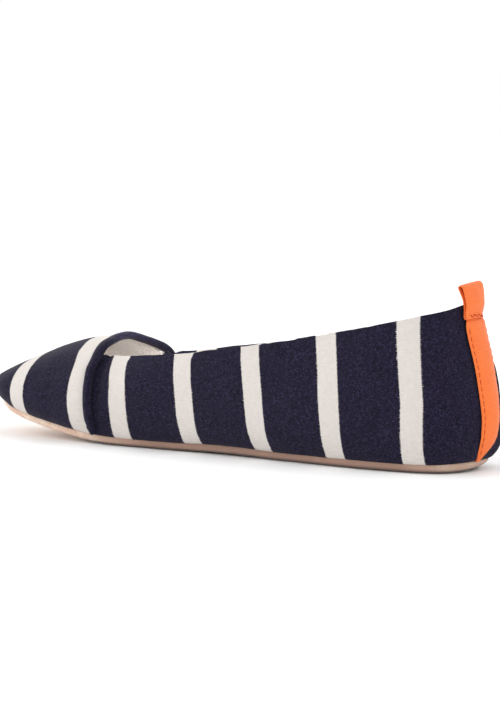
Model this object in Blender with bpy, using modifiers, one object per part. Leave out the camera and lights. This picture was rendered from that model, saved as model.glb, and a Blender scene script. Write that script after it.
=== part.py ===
# A soft closed-back slipper: a right shoe, standing empty on its sole.
# The toe points to -X, the heel to +X, the inner (medial) side to -Y, and +Z is up.
# The origin is on the floor, under the middle of the shoe's box.
# Blender's units are metres. The sizes below are in millimetres, and MM turns them into metres.

import bpy
import bmesh
import numpy as np

MM = 0.001

# Driving dimensions, in millimetres.
LENGTH = 257.0
GAP = 0.3
SOLE_THICKNESS = 4.0
# How far the sole stands out past the feather edge, and how far its rounded edge draws in below;
# round the heel it draws in further.
SOLE_LIP = 0.7
SOLE_EDGE = 1.9
HEEL_ROUND = 4.5
HEEL_ROUND_END = 0.05
INSOLE_THICKNESS = 3.0
INSOLE_MARGIN = 1.2
TOE_SPRING = 16.0
SPRING_START = 0.65
WAIST_ARCH = 0.8
HEEL_LIFT = 1.6
HEEL_LIFT_END = 0.08
WALL = 2.6
VAMP_STEP = 1.5
STEP_RUN = 1.3
HEEL_FAN = 0.08
HEEL_FAN_END = 0.3
BAND_WIDTH = 5.2
BAND_HEIGHT = 3.8
BAND_CLEARANCE = 0.1
TAPE_WIDTH = 20.0
TAPE_THICKNESS = 1.0
LOOP_WIDTH = 17.5
LOOP_THICKNESS = 0.7
LOOP_RISE = 8.5
LOOP_HEM = 6.6
LOOP_SEAM = 1.4
LOOP_LEAN = 0.4

# The waist's arch is centred here and fades out over this share of the length.
WAIST_PLACE = 0.46
WAIST_REACH = 0.12

# How many columns and rows of faces each form has.
QUARTER_COLUMNS = 30
VAMP_COLUMNS = 14
UNDER_ROWS = 5
SIDE_ROWS = 7
ARCH_ROWS = 9
SLAB_COLUMNS = 44
TAPE_COLUMNS = 6
TAPE_ROWS = 12
BAND_LEG_STEPS = 10
BAND_ARCH_STEPS = 12
BAND_SIDES = 12

# Where on a rib the tape and the band start, and over how much of the arch the band leaves the
# quarter. The tape stays within this plan angle of the heel back.
TAPE_FOOT = -0.76
BAND_FOOT = -0.62
BAND_RELEASE = 0.3
TAPE_SEARCH = 0.9

# The loop's fold: its radius at the middle of the tape's thickness, and its steps.
LOOP_FOLD = 1.3
LOOP_FOLD_STEPS = 6

# Normals are taken this far inside the heel back, the toe tip, the feather edge and the ridge,
# where the ribs run together.
HEEL_MARGIN = 0.02
TOE_MARGIN = 0.06
FEATHER_MARGIN = 0.02
RIDGE_MARGIN = 0.03

# Plan of the last at its widest line: how far each side stands from the centre line.
PLAN = (
    # share of the length from the heel back, inner side, outer side
    (0.00, 0.0, 0.0),
    (0.06, 24.0, 19.5),
    (0.16, 30.0, 30.6),
    (0.30, 32.0, 32.0),
    (0.45, 31.7, 34.7),
    (0.60, 31.5, 38.3),
    (0.72, 31.7, 39.5),
    (0.84, 29.7, 34.9),
    (0.94, 26.6, 24.2),
    (1.00, 0.0, 0.0),
)

# Sections of the last: height of the widest line above the tread, how far the upper tucks in
# under it, and how full each side is above it, where 2 is an ellipse.
SECTIONS = (
    # share, widest line, tuck, inner fullness, outer fullness
    (0.00, 20.5, 4.0, 1.2, 1.2),
    (0.15, 21.2, 4.2, 2.9, 2.9),
    (0.35, 24.0, 7.0, 2.55, 2.55),
    (0.55, 23.0, 6.3, 2.5, 2.3),
    (0.72, 19.0, 4.6, 2.1, 1.7),
    (0.85, 13.8, 4.3, 2.1, 1.9),
    (1.00, 9.2, 2.7, 2.2, 2.2),
)

# The collar's height on each side, from the heel back to the corner of the throat.
COLLAR = (
    # share, inner side, outer side
    (0.00, 69.5, 69.5),
    (0.10, 63.4, 63.4),
    (0.22, 57.3, 57.3),
    (0.38, 49.8, 49.7),
    (0.52, 44.6, 44.3),
    (0.66, 41.0, 39.6),
    (0.75, 40.2, 38.0),
)

# The ridge over instep and toe. Behind the throat the shoe is open, and the ridge only sets
# how steeply the quarters stand.
RIDGE = (
    # share, height
    (0.00, 96.0),
    (0.25, 97.0),
    (0.45, 80.0),
    (0.62, 54.0),
    (0.72, 48.0),
    (0.82, 43.8),
    (0.91, 35.9),
    (0.97, 29.0),
    (1.00, 25.2),
)

# The throat line, where the vamp laps over the quarters: its place on the rib, from -1 at the
# feather edge through 0 at the widest line to 1 at the ridge, and its distance from the heel.
THROAT = (
    # place, distance
    (-1.0, 187.7),
    (0.0, 188.7),
    (0.5, 189.7),
    (1.0, 191.9),
)
CORNER = 0.5

# Which side of the shoe a curve belongs to.
INNER, OUTER = -1, 1


def spline(table, column, at):
    """A natural cubic spline through one column of a table."""
    rows = np.array(table, float)
    x, y = rows[:, 0], rows[:, column]
    last = len(x) - 1
    span = np.diff(x)
    system, slopes = np.eye(last + 1), np.zeros(last + 1)
    for i in range(1, last):
        system[i, i - 1 : i + 2] = span[i - 1], 2 * (span[i - 1] + span[i]), span[i]
        slopes[i] = 6 * ((y[i + 1] - y[i]) / span[i] - (y[i] - y[i - 1]) / span[i - 1])
    bend = np.linalg.solve(system, slopes)
    i = np.clip(np.searchsorted(x, at) - 1, 0, last - 1)
    before, after, width = at - x[i], x[i + 1] - at, span[i]
    cubic = (bend[i] * after**3 + bend[i + 1] * before**3) / (6 * width)
    from_left = (y[i] / width - bend[i] * width / 6) * after
    from_right = (y[i + 1] / width - bend[i + 1] * width / 6) * before
    return cubic + from_left + from_right


def angle_of(share):
    """The plan's angle: 0 at the heel back, pi at the toe tip, where both ends come out round."""
    return np.arccos(np.clip(1 - 2 * np.asarray(share, float), -1, 1))


def share_of(angle):
    """The share of the length at a plan angle."""
    return (1 - np.cos(angle)) / 2


def ease(amount):
    """A soft start and a soft end between 0 and 1."""
    amount = np.clip(amount, 0, 1)
    return amount * amount * (3 - 2 * amount)


PLAN_BY_ANGLE = tuple((float(angle_of(share)), inner, outer) for share, inner, outer in PLAN)


def tread(share):
    """Height of the sole's underside: flat at heel and forefoot, raised between and at both ends."""
    lift = np.clip(1 - share / HEEL_LIFT_END, 0, None)
    spring = np.clip((share - SPRING_START) / (1 - SPRING_START), 0, None)
    waist = np.clip(1 - ((share - WAIST_PLACE) / WAIST_REACH) ** 2, 0, None)
    return HEEL_LIFT * lift**2 + TOE_SPRING * spring**2 + WAIST_ARCH * waist**2


def outline(side, angle):
    """Share of the length, distance from the heel back, and offset from the centre line."""
    share = share_of(angle)
    return share, LENGTH * share, side * spline(PLAN_BY_ANGLE, 1 if side == INNER else 2, angle)


def plan_normal(side, angle):
    """The outline's outward direction in plan."""
    step = 1e-4
    _, along_0, across_0 = outline(side, angle - step)
    _, along_1, across_1 = outline(side, angle + step)
    run, turn = along_1 - along_0, across_1 - across_0
    size = np.hypot(run, turn)
    return -side * turn / size, side * run / size


def fullness(side, share):
    """How full the section is above its widest line."""
    return spline(SECTIONS, 3 if side == INNER else 4, share)


def last_point(side, angle, place):
    """A point of the last as distance from the heel, offset across and height.

    Place runs from -1 at the feather edge through 0 at the widest line to 1 at the ridge.
    """
    share, along, across = outline(side, angle)
    feather = tread(share) + SOLE_THICKNESS + GAP
    widest = tread(share) + spline(SECTIONS, 1, share)
    ridge = np.maximum(spline(RIDGE, 1, share), widest)
    roundness = 2 / fullness(side, share)
    drop = np.clip(-place, 0, 1) * np.pi / 2
    climb = np.clip(place, 0, 1) * np.pi / 2
    tuck = spline(SECTIONS, 2, share) * (1 - np.cos(drop))
    out_along, out_across = plan_normal(side, angle)
    inward = 1 - np.cos(climb) ** roundness
    height = widest - (widest - feather) * np.sin(drop) + (ridge - widest) * np.sin(climb) ** roundness
    fan = HEEL_FAN * LENGTH * np.clip(1 - share / HEEL_FAN_END, 0, None) ** 2
    return np.stack(
        np.broadcast_arrays(
            along - out_along * tuck + fan * inward,
            (across - out_across * tuck) * (1 - inward),
            height,
        ),
        axis=-1,
    )


def surface(side, angle, place, lift=0.0):
    """A point of the upper's outside, moved outward by lift."""
    angle, place = np.broadcast_arrays(np.asarray(angle, float), np.asarray(place, float))
    step = 1e-3
    near = np.clip(angle, HEEL_MARGIN, np.pi - TOE_MARGIN)
    level = np.clip(place, FEATHER_MARGIN - 1, 1 - RIDGE_MARGIN)
    along = last_point(side, near + step, level) - last_point(side, near - step, level)
    up = last_point(side, near, level + step) - last_point(side, near, level - step)
    normal = side * np.cross(up, along)
    normal /= np.linalg.norm(normal, axis=-1, keepdims=True)
    point = last_point(side, angle, place) + normal * np.asarray(lift, float)[..., None]
    on_centre = (angle <= 0) | (angle >= np.pi) | (place >= 1)
    point[..., 1] = np.where(on_centre, 0.0, point[..., 1])
    return point


def collar_place(side, share, below=0.0):
    """The place on a rib where the collar runs, or this many millimetres below it."""
    height = spline(COLLAR, 1 if side == INNER else 2, share) - below
    widest = tread(share) + spline(SECTIONS, 1, share)
    ridge = spline(RIDGE, 1, share)
    rise = np.clip((height - widest) / (ridge - widest), 0, 1)
    return np.arcsin(rise ** (fullness(side, share) / 2)) / (np.pi / 2)


def throat_angle(place):
    """The plan angle of the throat line at a place on the rib."""
    return angle_of(spline(THROAT, 1, place) / LENGTH)


def world(points):
    """Millimetres from the heel back, across and up, turned into Blender's axes."""
    points = np.asarray(points, float)
    turned = np.stack([LENGTH / 2 - points[..., 0], points[..., 1], points[..., 2]], axis=-1)
    return turned * MM


def material(name, colour, roughness):
    """A plain finish of the piece's own colour."""
    made = bpy.data.materials.new(name)
    made.use_nodes = True
    shader = made.node_tree.nodes["Principled BSDF"]
    shader.inputs["Base Color"].default_value = (*colour, 1)
    shader.inputs["Roughness"].default_value = roughness
    shader.inputs["Metallic"].default_value = 0
    return made


def add_object(name, mesh_data, collection, finish):
    """Turn a bmesh into a smooth-shaded object with its own finish."""
    bmesh.ops.remove_doubles(mesh_data, verts=mesh_data.verts, dist=0.02 * MM)
    bmesh.ops.recalc_face_normals(mesh_data, faces=mesh_data.faces)
    mesh = bpy.data.meshes.new(name)
    mesh_data.to_mesh(mesh)
    mesh_data.free()
    mesh.shade_smooth()
    mesh.set_sharp_from_angle(angle=np.radians(40))
    mesh.materials.append(finish)
    made = bpy.data.objects.new(name, mesh)
    collection.objects.link(made)
    return made


def thicken(piece, thickness, outward):
    """Give an open surface a wall, with its new side outward or inward."""
    shell = piece.modifiers.new("wall", "SOLIDIFY")
    shell.thickness = thickness * MM
    shell.offset = 1 if outward else -1
    shell.use_even_offset = False


def add_grid(mesh_data, grid):
    """Skin a grid of points, given in millimetres, with quads."""
    points = world(grid)
    made = [[mesh_data.verts.new(point) for point in row] for row in points]
    for lower, upper in zip(made, made[1:]):
        for i in range(len(lower) - 1):
            mesh_data.faces.new((lower[i], lower[i + 1], upper[i + 1], upper[i]))
    return made


def upper_side(side):
    """One side's points: the quarter's grid, the vamp's lower grid and the vamp's arch."""
    under = -np.cos(np.arange(UNDER_ROWS) / UNDER_ROWS * np.pi / 2)
    throat_rows = np.concatenate([under, CORNER * np.arange(SIDE_ROWS + 1) / SIDE_ROWS])
    line = throat_angle(throat_rows)
    step_back = STEP_RUN / (LENGTH / 2 * np.sin(line))

    # The quarter's ribs stand between the heel back and the throat line.
    columns = np.arange(QUARTER_COLUMNS + 1) / QUARTER_COLUMNS
    quarter = []
    for row, place in enumerate(throat_rows):
        angle = (line[row] - step_back[row]) * columns
        share = share_of(angle)
        level = np.where(place < 0, place, collar_place(side, share) * place / CORNER)
        quarter.append(surface(side, angle, level))

    # The vamp's ribs run on from the throat line to the toe, a step further out.
    columns = np.arange(VAMP_COLUMNS + 1) / VAMP_COLUMNS
    arch = CORNER + (1 - CORNER) * np.arange(1, ARCH_ROWS + 1) / ARCH_ROWS
    vamp_rows = np.concatenate([throat_rows, arch])
    corner_place = collar_place(side, share_of(throat_angle(np.array(CORNER))))
    vamp = []
    for place in vamp_rows:
        start = throat_angle(np.array(place))
        angle = start + (np.pi - start) * columns
        stretched = np.where(
            place <= CORNER,
            corner_place * place / CORNER,
            corner_place + (1 - corner_place) * (place - CORNER) / (1 - CORNER),
        )
        level = np.full(angle.shape, place if place < 0 else stretched)
        # The step dies away towards the feather edge, where vamp and quarter share one seam.
        step = VAMP_STEP * np.cos(np.clip(-level, 0, 1) * np.pi / 2)
        vamp.append(surface(side, angle, level, step))
    return quarter, vamp


def make_upper(collection):
    """Quarters and vamp: one hollow shell, open at the collar and underneath."""
    shell = bmesh.new()
    for side in (INNER, OUTER):
        quarter, vamp = upper_side(side)
        behind = add_grid(shell, quarter)
        front = add_grid(shell, vamp)
        for row in range(len(behind) - 1):
            low, high = row, row + 1
            shell.faces.new((behind[low][-1], front[low][0], front[high][0], behind[high][-1]))
    finish = material("striped jersey", (0.020, 0.017, 0.035), 0.9)
    upper = add_object("upper", shell, collection, finish)
    thicken(upper, WALL, outward=False)


def ring(angles, outset, height, heel_inset):
    """The feather edge's outline moved outward, as one closed ring of points over the tread.

    Heel inset is how far the ring is drawn in again round the back of the heel.
    """
    points = []
    for side, order in ((INNER, angles), (OUTER, angles[::-1][1:-1])):
        edge = last_point(side, order, np.full(order.shape, -1.0))
        out_along, out_across = plan_normal(side, order)
        share = share_of(order)
        reach = outset - heel_inset * np.clip(1 - share / HEEL_ROUND_END, 0, None) ** 2
        along = edge[:, 0] + out_along * reach
        across = edge[:, 1] + out_across * reach
        across = np.where((order <= 0) | (order >= np.pi), 0.0, across)
        points.append(np.stack([along, across, tread(along / LENGTH) + height], axis=-1))
    return world(np.concatenate(points))


def make_slab(name, collection, finish, profile):
    """A closed slab with the shoe's plan.

    Its profile lists outset, height and inset at the heel, from top to bottom.
    """
    slab = bmesh.new()
    angles = np.linspace(0, np.pi, SLAB_COLUMNS + 1)
    rings = [[slab.verts.new(point) for point in ring(angles, *row)] for row in profile]
    count = len(rings[0])
    for above, below in zip(rings, rings[1:]):
        for i in range(count):
            j = (i + 1) % count
            slab.faces.new((above[i], above[j], below[j], below[i]))
    # Top and underside are strips across the shoe, so that they follow the spring of the toe.
    for outer_ring in (rings[0], rings[-1]):
        for i in range(1, SLAB_COLUMNS - 1):
            slab.faces.new(
                (outer_ring[i], outer_ring[i + 1], outer_ring[count - i - 1], outer_ring[count - i])
            )
        slab.faces.new((outer_ring[0], outer_ring[1], outer_ring[count - 1]))
        toe = SLAB_COLUMNS
        slab.faces.new((outer_ring[toe - 1], outer_ring[toe], outer_ring[toe + 1]))
    add_object(name, slab, collection, finish)


def make_outsole(collection):
    """The thin suede sole with its rounded edge."""
    profile = (
        (SOLE_LIP - 0.4, SOLE_THICKNESS, 0.0),
        (SOLE_LIP, 0.65 * SOLE_THICKNESS, 0.15 * HEEL_ROUND),
        (SOLE_LIP - 0.2, 0.3 * SOLE_THICKNESS, 0.5 * HEEL_ROUND),
        (SOLE_LIP - SOLE_EDGE, 0.0, HEEL_ROUND),
    )
    make_slab("outsole", collection, material("sole suede", (0.42, 0.27, 0.20), 0.95), profile)


def make_insole(collection):
    """The padded footbed inside the upper, on top of the sole."""
    seat = SOLE_THICKNESS + GAP
    profile = (
        (-INSOLE_MARGIN - 0.9, seat + INSOLE_THICKNESS, 0.0),
        (-INSOLE_MARGIN, seat + 0.7 * INSOLE_THICKNESS, 0.0),
        (-INSOLE_MARGIN, seat, 0.0),
    )
    make_slab("insole", collection, material("fleece", (0.72, 0.62, 0.54), 1.0), profile)


def make_binding(collection):
    """The rolled band round the throat: up one side, over the instep and down the other."""
    legs = BAND_FOOT + (CORNER - BAND_FOOT) * np.arange(BAND_LEG_STEPS) / BAND_LEG_STEPS
    arch = CORNER + (1 - CORNER) * np.arange(BAND_ARCH_STEPS + 1) / BAND_ARCH_STEPS
    rows = np.concatenate([legs, arch])
    # The legs lie on the quarter, and the arch stands free, level with the vamp's wall.
    free = ease((rows - CORNER) / BAND_RELEASE)
    back = (BAND_WIDTH / 2 + GAP + STEP_RUN * (1 - free)) / LENGTH
    share = share_of(throat_angle(rows)) - back
    on_leg = BAND_HEIGHT / 2 + GAP + BAND_CLEARANCE
    on_arch = VAMP_STEP - WALL / 2
    lift = on_leg + (on_arch - on_leg) * free
    half = {}
    for side in (INNER, OUTER):
        collar = collar_place(side, share)
        above = collar + (1 - collar) * (rows - CORNER) / (1 - CORNER)
        level = np.where(rows <= 0, rows, np.where(rows <= CORNER, collar * rows / CORNER, above))
        low = surface(side, angle_of(share), level, lift)
        high = surface(side, angle_of(share), level, lift + 1)
        half[side] = (low, high - low)
    centre = np.concatenate([half[INNER][0], half[OUTER][0][::-1][1:]])
    normal = np.concatenate([half[INNER][1], half[OUTER][1][::-1][1:]])
    tangent = np.gradient(centre, axis=0)
    tangent /= np.linalg.norm(tangent, axis=1, keepdims=True)
    normal -= tangent * np.sum(normal * tangent, axis=1, keepdims=True)
    normal /= np.linalg.norm(normal, axis=1, keepdims=True)
    across = np.cross(tangent, normal)
    band = bmesh.new()
    turn = np.linspace(0, 2 * np.pi, BAND_SIDES, endpoint=False)
    spokes = (
        across[:, None] * (np.cos(turn) * BAND_WIDTH / 2)[None, :, None]
        + normal[:, None] * (np.sin(turn) * BAND_HEIGHT / 2)[None, :, None]
    )
    rings = [[band.verts.new(p) for p in row] for row in world(centre[:, None] + spokes)]
    for first, second in zip(rings, rings[1:]):
        for i in range(BAND_SIDES):
            j = (i + 1) % BAND_SIDES
            band.faces.new((first[i], first[j], second[j], second[i]))
    band.faces.new(rings[0])
    band.faces.new(rings[-1])
    add_object("throat_binding", band, collection, material("jersey", (0.018, 0.015, 0.030), 0.9))


def heel_spot(across, row, below):
    """Where a point at this offset from the centre back lies on the upper.

    Row runs from -1 at the feather edge to 1 at a line so many millimetres below the collar.
    """
    side = OUTER if across >= 0 else INNER
    angles = np.linspace(0, TAPE_SEARCH, 91)
    share = share_of(angles)
    level = np.full(angles.shape, row) if row <= 0 else collar_place(side, share, below) * row
    offsets = np.abs(last_point(side, angles, level)[:, 1])
    angle = np.interp(abs(across), offsets, angles)
    return side, angle, np.interp(angle, angles, level)


def make_heel_tape(collection):
    """The ribbed tape sewn up the centre back, from the sole to the pull loop's foot."""
    tape = bmesh.new()
    columns = TAPE_WIDTH * (np.arange(TAPE_COLUMNS + 1) / TAPE_COLUMNS - 0.5)
    rows = np.linspace(TAPE_FOOT, 1, TAPE_ROWS + 1)
    below = LOOP_HEM + GAP
    grid = [[surface(*heel_spot(across, row, below), GAP) for across in columns] for row in rows]
    add_grid(tape, np.array(grid))
    piece = add_object("heel_tape", tape, collection, material("tape", (1.0, 0.22, 0.07), 0.7))
    thicken(piece, TAPE_THICKNESS, outward=True)


def loop_profile():
    """The pull loop's path: offset from the wall's outside, and height over the collar.

    It runs up from the tape's top, folds back outward and comes down to the seam at its foot.
    """
    under = GAP + LOOP_THICKNESS / 2
    sewn = under + LOOP_THICKNESS + GAP / 2
    over = under + 2 * LOOP_FOLD
    crown = LOOP_RISE - LOOP_FOLD - LOOP_THICKNESS / 2
    below = [-LOOP_HEM, -LOOP_HEM + LOOP_SEAM, -LOOP_HEM / 2, -LOOP_HEM / 4]
    heights = below + [0.0, crown / 3, 2 * crown / 3, crown]
    up = [(under, height) for height in heights]
    turns = np.linspace(np.pi, 0, LOOP_FOLD_STEPS + 1)[1:-1]
    fold = [(under + LOOP_FOLD * (1 + np.cos(t)), crown + LOOP_FOLD * np.sin(t)) for t in turns]
    down = []
    for height in reversed(heights):
        opening = ease((height + LOOP_HEM - LOOP_SEAM) / (LOOP_HEM - LOOP_SEAM))
        down.append((sewn + (over - sewn) * opening, height))
    return up + fold + down


def make_pull_loop(collection):
    """A length of the same tape, folded double, that stands up from the collar behind the heel."""
    loop = bmesh.new()
    columns = LOOP_WIDTH * (np.arange(TAPE_COLUMNS + 1) / TAPE_COLUMNS - 0.5)
    backward = np.array([-1.0, 0.0, 0.0])
    grid = []
    for offset, height in loop_profile():
        rise = max(height, 0.0)
        row, ways = [], []
        for across in columns:
            spot = heel_spot(across, 1.0, max(-height, 0.0))
            row.append(surface(*spot, 0.0))
            ways.append(surface(*spot, 1.0) - row[-1])
        row, ways = np.array(row), np.array(ways)
        # Above the collar the tape flattens out, leans forward and rises straight.
        flat = min(rise / LOOP_RISE, 1.0)
        row[:, [0, 2]] += (row[:, [0, 2]].mean(axis=0) - row[:, [0, 2]]) * flat
        ways += (backward - ways) * flat
        if height >= 0:
            ways[:, 2] = 0.0
        ways /= np.linalg.norm(ways, axis=1, keepdims=True)
        grid.append(row + ways * offset + np.array([LOOP_LEAN * rise, 0.0, rise]))
    add_grid(loop, np.array(grid))
    piece = add_object("pull_loop", loop, collection, material("tape", (1.0, 0.22, 0.07), 0.7))
    shell = piece.modifiers.new("wall", "SOLIDIFY")
    shell.thickness = LOOP_THICKNESS * MM
    shell.offset = 0
    shell.use_even_offset = False


def stand_on_origin(collection):
    """Put the middle of the shoe's box over the origin, with the sole on the floor."""
    graph = bpy.context.evaluated_depsgraph_get()
    corners = []
    for piece in collection.objects:
        shape = piece.evaluated_get(graph)
        corners += [vertex.co.copy() for vertex in shape.to_mesh().vertices]
        shape.to_mesh_clear()
    corners = np.array(corners)
    middle = (corners.min(axis=0) + corners.max(axis=0)) / 2
    for piece in collection.objects:
        piece.location = (-middle[0], -middle[1], 0)


def main():
    for old in list(bpy.data.objects):
        bpy.data.objects.remove(old)
    slipper = bpy.data.collections.new("slipper")
    bpy.context.scene.collection.children.link(slipper)
    make_outsole(slipper)
    make_insole(slipper)
    make_upper(slipper)
    make_binding(slipper)
    make_heel_tape(slipper)
    make_pull_loop(slipper)
    stand_on_origin(slipper)


main()
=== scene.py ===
import heapq
import math

import bmesh
import bpy
import numpy as np
from mathutils import Matrix, Vector, noise
from mathutils.bvhtree import BVHTree
from mathutils.kdtree import KDTree


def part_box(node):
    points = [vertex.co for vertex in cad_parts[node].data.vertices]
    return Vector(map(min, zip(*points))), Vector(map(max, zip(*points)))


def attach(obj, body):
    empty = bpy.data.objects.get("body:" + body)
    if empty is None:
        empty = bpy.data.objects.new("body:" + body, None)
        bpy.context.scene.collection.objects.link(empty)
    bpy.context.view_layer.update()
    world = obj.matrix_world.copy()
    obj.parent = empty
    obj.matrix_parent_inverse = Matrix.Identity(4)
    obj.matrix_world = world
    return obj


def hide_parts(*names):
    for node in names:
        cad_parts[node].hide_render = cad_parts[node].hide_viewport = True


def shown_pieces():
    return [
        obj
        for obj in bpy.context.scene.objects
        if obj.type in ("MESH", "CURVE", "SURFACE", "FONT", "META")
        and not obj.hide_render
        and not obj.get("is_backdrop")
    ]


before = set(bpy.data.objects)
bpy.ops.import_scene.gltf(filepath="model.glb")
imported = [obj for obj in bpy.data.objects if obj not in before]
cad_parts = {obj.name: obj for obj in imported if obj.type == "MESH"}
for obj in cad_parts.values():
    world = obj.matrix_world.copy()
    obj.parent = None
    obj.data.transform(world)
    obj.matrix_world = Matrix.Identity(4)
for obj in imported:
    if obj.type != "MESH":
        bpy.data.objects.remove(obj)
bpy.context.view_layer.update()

mm = 0.001
centreLine = -3.9  # the last's middle lies this far to the inner side, in mm


def onlyThis(piece):
    bpy.ops.object.select_all(action="DESELECT")
    piece.select_set(True)
    bpy.context.view_layer.objects.active = piece


def pickFaces(piece, test):
    # in edit mode, leaves just the faces picked that pass the test
    shape = bmesh.from_edit_mesh(piece.data)
    bpy.ops.mesh.select_mode(type="FACE")
    bpy.ops.mesh.select_all(action="DESELECT")
    for face in shape.faces:
        if test(face):
            face.select_set(True)
    bmesh.update_edit_mesh(piece.data)


def copyOfNode(nodeName, pieceName):
    # a copy of the solid's own mesh, its loose triangles joined up into quads again
    piece = bpy.data.objects.new(pieceName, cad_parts[nodeName].data.copy())
    bpy.context.scene.collection.objects.link(piece)
    piece.data.name = pieceName
    piece.data.materials.clear()
    onlyThis(piece)
    bpy.ops.mesh.customdata_custom_splitnormals_clear()
    bpy.ops.object.mode_set(mode="EDIT")
    bpy.ops.mesh.select_all(action="SELECT")
    bpy.ops.mesh.remove_doubles(threshold=0.01 * mm)
    bpy.ops.mesh.mark_sharp(clear=True)
    bpy.ops.mesh.tris_convert_to_quads(face_threshold=0.7, shape_threshold=3.1)
    bpy.ops.object.mode_set(mode="OBJECT")
    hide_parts(nodeName)
    return piece


def soften(piece, levels):
    onlyThis(piece)
    form = piece.modifiers.new("soft form", "SUBSURF")
    form.levels = form.render_levels = levels
    bpy.ops.object.modifier_apply(modifier=form.name)
    bpy.ops.object.shade_smooth()


def pointsOf(piece):
    points = np.empty(len(piece.data.vertices) * 3)
    piece.data.vertices.foreach_get("co", points)
    return points.reshape(-1, 3)


def normalsOf(piece):
    normals = np.empty(len(piece.data.vertices) * 3)
    piece.data.vertices.foreach_get("normal", normals)
    return normals.reshape(-1, 3)


def setPoints(piece, points):
    piece.data.vertices.foreach_set("co", np.asarray(points, float).ravel())
    piece.data.update()


def ease(amount):
    amount = np.clip(amount, 0, 1)
    return amount * amount * (3 - 2 * amount)


def ramp(value, span):
    # rises softly from 0 to 1, starting at the first number and taking the second one's length;
    # a negative length makes it rise downwards
    start, run = span
    return ease((value - start) / run)


def inShoe(points):
    # along the shoe, across from its centre line, and up, in mm
    return points[:, 0] / mm, points[:, 1] / mm - centreLine, points[:, 2] / mm


def waves(points, size, seed, squeeze=(1, 1, 1)):
    # soft random waves of about this size in mm, the same at every run
    scaled = points / (size * mm) / np.array(squeeze) + seed
    return np.array([noise.noise(Vector(point)) for point in scaled])


def reachOver(points, edges, starts):
    # the shortest way over the mesh from the starting vertices to each vertex, in mm
    ways = [[] for _ in points]
    lengths = np.linalg.norm(points[edges[:, 0]] - points[edges[:, 1]], axis=1) / mm
    for (a, b), length in zip(edges.tolist(), lengths.tolist()):
        ways[a].append((b, length))
        ways[b].append((a, length))
    reach = [1e9] * len(points)
    queue = [(0.0, start) for start in starts]
    for _, start in queue:
        reach[start] = 0.0
    heapq.heapify(queue)
    while queue:
        far, at = heapq.heappop(queue)
        if far > reach[at]:
            continue
        for other, length in ways[at]:
            if far + length < reach[other] - 1e-9:
                reach[other] = far + length
                heapq.heappush(queue, (far + length, other))
    return np.array(reach)


def treeOf(piece):
    shape = bmesh.new()
    shape.from_mesh(piece.data)
    tree = BVHTree.FromBMesh(shape)
    shape.free()
    return tree


def linearColour(hexText):
    parts = [int(hexText[i : i + 2], 16) / 255 for i in (1, 3, 5)]
    return tuple(p / 12.92 if p <= 0.04045 else ((p + 0.055) / 1.055) ** 2.4 for p in parts) + (1.0,)


def setSockets(material, node, sockets):
    # each socket takes a plain value or another node's output
    for name, value in sockets.items():
        if isinstance(value, bpy.types.NodeSocket):
            material.node_tree.links.new(value, node.inputs[name])
        else:
            node.inputs[name].default_value = value


def addNode(material, kind, settings, sockets, out=0):
    # adds a node with its settings, values and links, and gives back one of its outputs
    node = material.node_tree.nodes.new("ShaderNode" + kind)
    for name, value in settings.items():
        setattr(node, name, value)
    setSockets(material, node, sockets)
    return node.outputs[out]


def newMaterial(name, finish):
    # finish: the shader's constant sockets
    material = bpy.data.materials.new(name)
    material.use_nodes = True
    shader = material.node_tree.nodes["Principled BSDF"]
    setSockets(material, shader, finish)
    return material, shader


# Node settings that come up again and again. By number, a map range takes its value at 0, runs from
# 1 to 2 and gives 3 to 4; a mix takes its amount at 0 and its colours at 6 and 7.
multiply = {"operation": "MULTIPLY"}
multiplyAdd = {"operation": "MULTIPLY_ADD"}
sine = {"operation": "SINE"}
softStep = {"interpolation_type": "SMOOTHSTEP"}
colourMix = {"data_type": "RGBA"}
shadeMix = {"data_type": "RGBA", "blend_type": "MULTIPLY"}
mixed = 2  # the mix node's colour output

view = {
    "aim": (8.355, -3.907, 39.72),  # mm
    "azimuth": 33.06,
    "elevation": 5.49,
    "distance": 807.23,  # mm
    "lens": 90.66,
}


def makeCamera():
    turn, rise = math.radians(view["azimuth"]), math.radians(view["elevation"])
    back = Vector((math.sin(turn) * math.cos(rise), -math.cos(turn) * math.cos(rise), math.sin(rise)))
    camera = bpy.data.objects.new("camera", bpy.data.cameras.new("camera"))
    bpy.context.scene.collection.objects.link(camera)
    camera.data.lens = view["lens"]
    camera.data.clip_start, camera.data.clip_end = 0.05, 50
    camera.location = Vector(view["aim"]) * mm + back * view["distance"] * mm
    camera.rotation_mode = "QUATERNION"
    camera.rotation_quaternion = (-back).to_track_quat("-Z", "Y")
    bpy.context.scene.camera = camera


studio = {
    "walls": 1.0,  # brightness of the walls all round and of the ceiling
    "ceiling": 1.0,
    "wallTop": (0.32, 0.6),  # the walls fade into the ceiling between these heights on the unit dome
    "suns": [  # energy, softness in degrees, where the light comes from, lights the floor alone
        (0.38, 40, (0.6, 0.1, 0.8), True),
        (0.12, 50, (0.0, 0.5, 0.8), True),
        (0.35, 60, (-0.2, 0.5, 0.85), False),
        (1.35, 45, (-0.9, -0.32, 0.38), False),
        (0.3, 35, (0.85, -0.35, 0.38), False),
    ],
    "floorSize": 30,  # m
    "floorColour": "#f6f6f6",
}
# a small lamp that shines into the slipper's mouth: watts, size and places in mm, cone in degrees
mouthLight = {"power": 0.12, "size": 8, "from": (-30, -24, 60), "to": (-62, 14, 41), "cone": 75, "blend": 1.0}


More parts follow.
